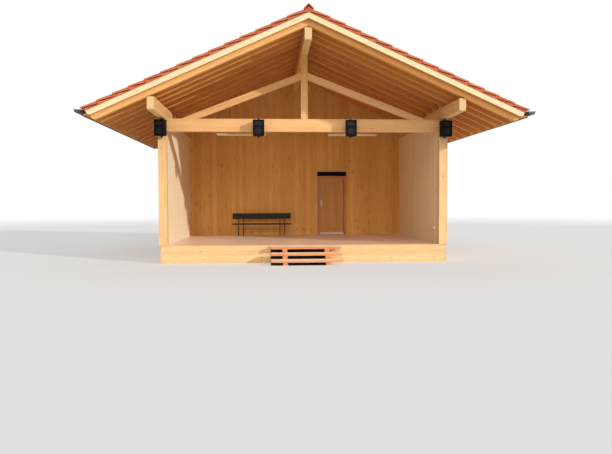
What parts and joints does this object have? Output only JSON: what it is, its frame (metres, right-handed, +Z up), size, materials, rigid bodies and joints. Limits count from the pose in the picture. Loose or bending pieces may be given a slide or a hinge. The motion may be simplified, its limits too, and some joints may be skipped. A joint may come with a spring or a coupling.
{
  "type": "covered wooden stage",
  "caption": "Timber music stage open to the front, with a tiled gable roof on purlins and rafters, a partition with a door, open steps and a bench.",
  "frame": {"origin": "on the ground, in the middle of the roof's outline", "axes": "+Z up, +X to the audience's right, +Y towards the back of the building"},
  "size_m": [11.925, 11.306, 6.8555],
  "materials": {
    "glulam_spruce": "planed",
    "spruce_boards": "planed",
    "deck_boards": "planed",
    "larch_steps": "oiled",
    "door_wood": "varnished",
    "clay_tile": "fired clay",
    "zinc_sheet": "weathered",
    "brushed_steel": "brushed",
    "speaker_black": "textured",
    "black_steel": "powder coated",
    "lamp_white": "moulded",
    "dark_glass": "dark",
    "bench_wood": "painted",
    "socket_white": "moulded"
  },
  "bodies": {
    "building": {"plinth_ends": "glulam_spruce", "plinth_sides": "glulam_spruce", "floor_bearers": "spruce_boards", "floor_joists": "spruce_boards", "stage_floor": "deck_boards", "front_posts": "glulam_spruce", "left_wall": "spruce_boards", "right_wall": "spruce_boards", "side_linings": "spruce_boards", "side_boards": "spruce_boards", "back_wall": "spruce_boards", "back_boards": "spruce_boards", "partition_left": "spruce_boards", "partition_right": "spruce_boards", "partition_over_door": "spruce_boards", "partition_gable": "spruce_boards", "door_frame": "door_wood", "hinge_frame_halves": "brushed_steel", "transom_pane": "dark_glass", "tie_beam": "glulam_spruce", "king_post": "glulam_spruce", "struts": "glulam_spruce", "ridge_purlin": "glulam_spruce", "eaves_purlins": "glulam_spruce", "rafters_left": "glulam_spruce", "rafters_right": "glulam_spruce", "rafter_blocks": "spruce_boards", "roof_boards_left": "spruce_boards", "roof_boards_right": "spruce_boards", "roof_battens": "spruce_boards", "eaves_boards": "spruce_boards", "barge_boards_left": "spruce_boards", "barge_boards_right": "spruce_boards", "roof_tiles_left": "clay_tile", "roof_tiles_right": "clay_tile", "ridge_cap": "clay_tile", "gutters": "zinc_sheet", "gutter_brackets": "zinc_sheet", "step_treads": "larch_steps", "step_stringers": "larch_steps", "speakers": "speaker_black", "speaker_yokes": "black_steel", "lamps": "lamp_white", "lamp_rods": "brushed_steel", "bench_boards": "bench_wood", "bench_frames": "black_steel", "socket_box": "socket_white"},
    "door": {"door_leaf": "door_wood", "door_weather_bar": "brushed_steel", "door_handle": "brushed_steel", "hinge_leaf_halves": "brushed_steel"}
  },
  "joints": [
    {"name": "door_hinge", "type": "hinge", "parent": "building", "child": "door", "pos_m": [1.8255, 2.75, 0.515], "axis": [0, 0, -1], "range_deg": [0, 100]}
  ]
}
